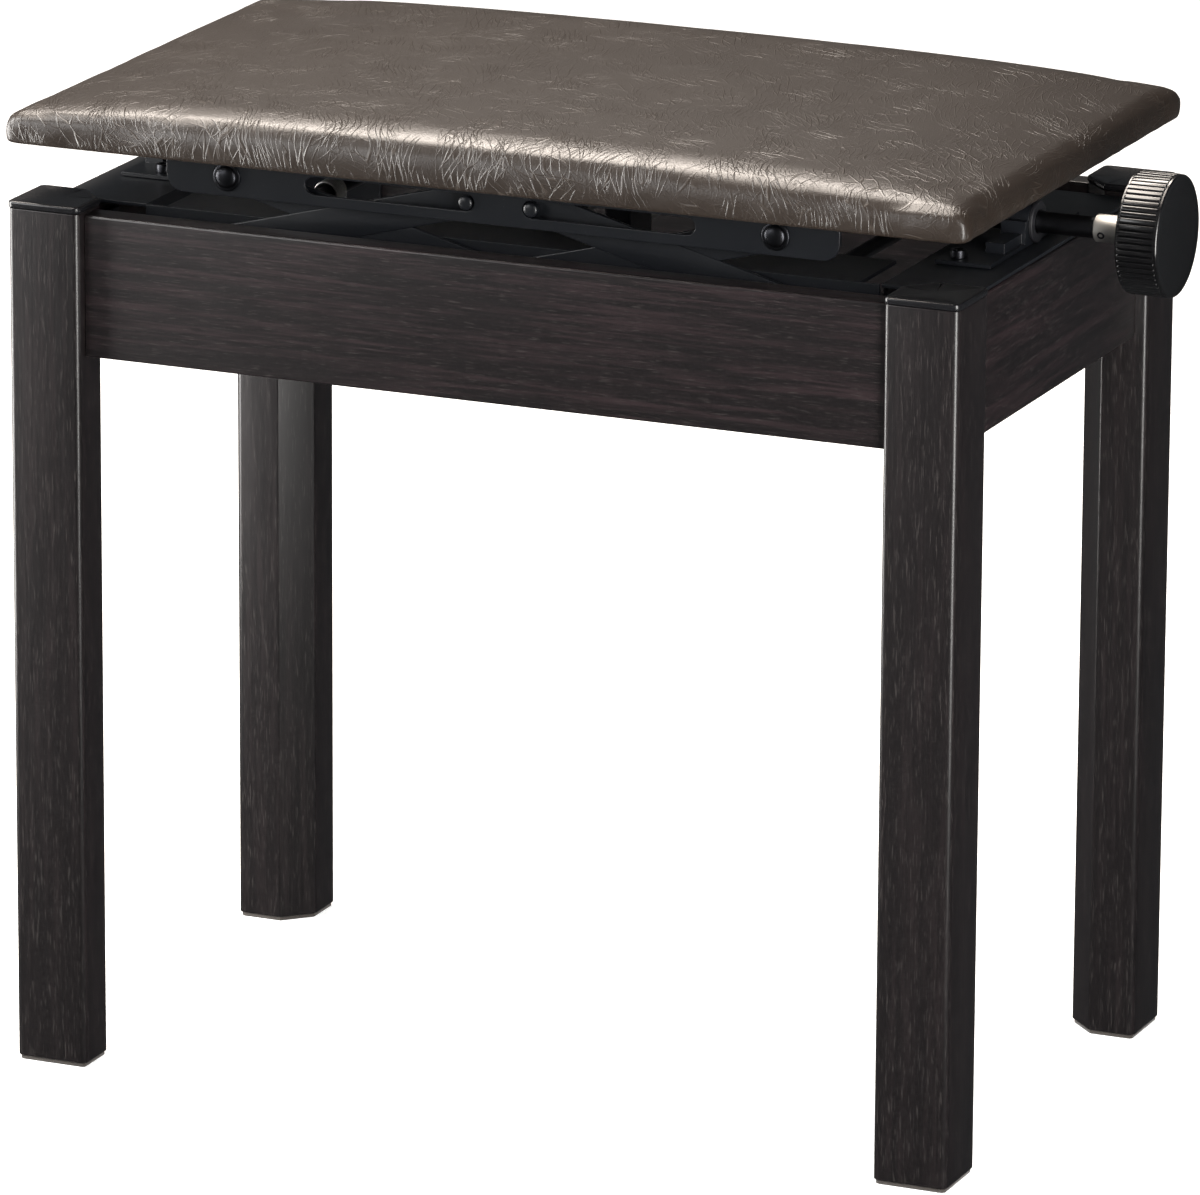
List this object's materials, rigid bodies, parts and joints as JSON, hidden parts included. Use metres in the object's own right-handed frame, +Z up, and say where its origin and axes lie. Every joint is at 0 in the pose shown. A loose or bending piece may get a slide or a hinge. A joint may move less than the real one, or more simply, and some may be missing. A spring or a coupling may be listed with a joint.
{
  "type": "piano bench",
  "caption": "Height-adjustable bench with square posts, deep aprons, a flat padded seat on a scissor lift and a side hand knob that drives it by a screw.",
  "frame": {"origin": "bottom centre of the bounding box, knob included, on the floor; the middle of the wooden frame lies 26.2 mm towards -X from it", "axes": "+X along the bench towards the knob, +Y from the player's front side to the back, +Z up"},
  "size_m": [0.569, 0.303, 0.506],
  "materials": {
    "dark_laminate": "satin rosewood-print laminate",
    "cap_plastic": "satin moulded",
    "felt": "felt",
    "painted_steel": "satin black paint",
    "zinc_steel": "zinc plated",
    "nylon": "black nylon",
    "knob_plastic": "glossy black",
    "plywood": "raw",
    "synthetic_leather": "satin crinkled"
  },
  "bodies": {
    "frame": {"apron_back": "dark_laminate", "apron_front": "dark_laminate", "apron_left": "dark_laminate", "apron_right": "dark_laminate", "bearing_bracket_left": "painted_steel", "bearing_bracket_right": "painted_steel", "bracket_bolt_left_back": "zinc_steel", "bracket_bolt_left_front": "zinc_steel", "bracket_bolt_right_back": "zinc_steel", "bracket_bolt_right_front": "zinc_steel", "corner_brace_back_left": "painted_steel", "corner_brace_back_right": "painted_steel", "corner_brace_front_left": "painted_steel", "corner_brace_front_right": "painted_steel", "end_plate_left": "painted_steel", "end_plate_right": "painted_steel", "foot_pad_back_left": "felt", "foot_pad_back_right": "felt", "foot_pad_front_left": "felt", "foot_pad_front_right": "felt", "leg_back_left": "dark_laminate", "leg_back_right": "dark_laminate", "leg_bolt_back_left": "zinc_steel", "leg_bolt_back_right": "zinc_steel", "leg_bolt_front_left": "zinc_steel", "leg_bolt_front_right": "zinc_steel", "leg_cap_back_left": "cap_plastic", "leg_cap_back_right": "cap_plastic", "leg_cap_front_left": "cap_plastic", "leg_cap_front_right": "cap_plastic", "leg_front_left": "dark_laminate", "leg_front_right": "dark_laminate", "lower_pivot_rod_left": "zinc_steel", "lower_pivot_rod_right": "zinc_steel", "lower_rail_back": "painted_steel", "lower_rail_front": "painted_steel", "screw_bush_left": "nylon", "screw_bush_right": "nylon"},
    "seat": {"seat_board": "plywood", "seat_cushion": "synthetic_leather", "upper_pivot_bolt_left_back": "painted_steel", "upper_pivot_bolt_left_front": "painted_steel", "upper_pivot_bolt_right_back": "painted_steel", "upper_pivot_bolt_right_front": "painted_steel", "upper_rail_back": "painted_steel", "upper_rail_front": "painted_steel"},
    "lower_arms_left": {"lower_arm_left_back": "painted_steel", "lower_arm_left_front": "painted_steel"},
    "lower_arms_right": {"lower_arm_right_back": "painted_steel", "lower_arm_right_front": "painted_steel"},
    "upper_arms_left": {"upper_arm_left_back": "painted_steel", "upper_arm_left_front": "painted_steel"},
    "upper_arms_right": {"upper_arm_right_back": "painted_steel", "upper_arm_right_front": "painted_steel"},
    "carriage_left": {"nut_block_left": "painted_steel", "slide_shaft_left": "zinc_steel"},
    "carriage_right": {"nut_block_right": "painted_steel", "slide_shaft_right": "zinc_steel"},
    "screw": {"lift_screw": "zinc_steel", "adjusting_knob": "knob_plastic"}
  },
  "joints": [
    {"name": "seat_lift", "type": "slide", "parent": "frame", "child": "seat", "axis": [0, 0, 1], "range_m": [0, 0.065]},
    {"name": "lower_arm_swing_left", "type": "hinge", "parent": "frame", "child": "lower_arms_left", "pos_m": [-0.1737, 0, 0.4335], "axis": [0, -1, 0], "range_deg": [0, 31.8]},
    {"name": "lower_arm_swing_right", "type": "hinge", "parent": "frame", "child": "lower_arms_right", "pos_m": [0.1213, 0, 0.4335], "axis": [0, 1, 0], "range_deg": [0, 31.8]},
    {"name": "upper_arm_swing_left", "type": "hinge", "parent": "seat", "child": "upper_arms_left", "pos_m": [-0.1737, 0, 0.4675], "axis": [0, 1, 0], "range_deg": [0, 31.8]},
    {"name": "upper_arm_swing_right", "type": "hinge", "parent": "seat", "child": "upper_arms_right", "pos_m": [0.1213, 0, 0.4675], "axis": [0, -1, 0], "range_deg": [0, 31.8]},
    {"name": "carriage_level_left", "type": "hinge", "parent": "upper_arms_left", "child": "carriage_left", "pos_m": [-0.0437, 0, 0.4335], "axis": [0, -1, 0], "range_deg": [0, 31.8]},
    {"name": "carriage_level_right", "type": "hinge", "parent": "upper_arms_right", "child": "carriage_right", "pos_m": [-0.0087, 0, 0.4335], "axis": [0, 1, 0], "range_deg": [0, 31.8]},
    {"name": "knob_turn", "type": "hinge", "parent": "frame", "child": "screw", "pos_m": [-0.0262, 0, 0.457], "axis": [1, 0, 0], "range_deg": [0, 2880]}
  ],
  "couplings": [
    {"joint": "lower_arm_swing_left", "follows": "seat_lift", "rad_per_m": 8.5155},
    {"joint": "lower_arm_swing_right", "follows": "seat_lift", "rad_per_m": 8.5155},
    {"joint": "upper_arm_swing_left", "follows": "seat_lift", "rad_per_m": 8.5155},
    {"joint": "upper_arm_swing_right", "follows": "seat_lift", "rad_per_m": 8.5155},
    {"joint": "carriage_level_left", "follows": "seat_lift", "rad_per_m": 8.5155},
    {"joint": "carriage_level_right", "follows": "seat_lift", "rad_per_m": 8.5155},
    {"joint": "knob_turn", "follows": "seat_lift", "rad_per_m": 773.3}
  ]
}
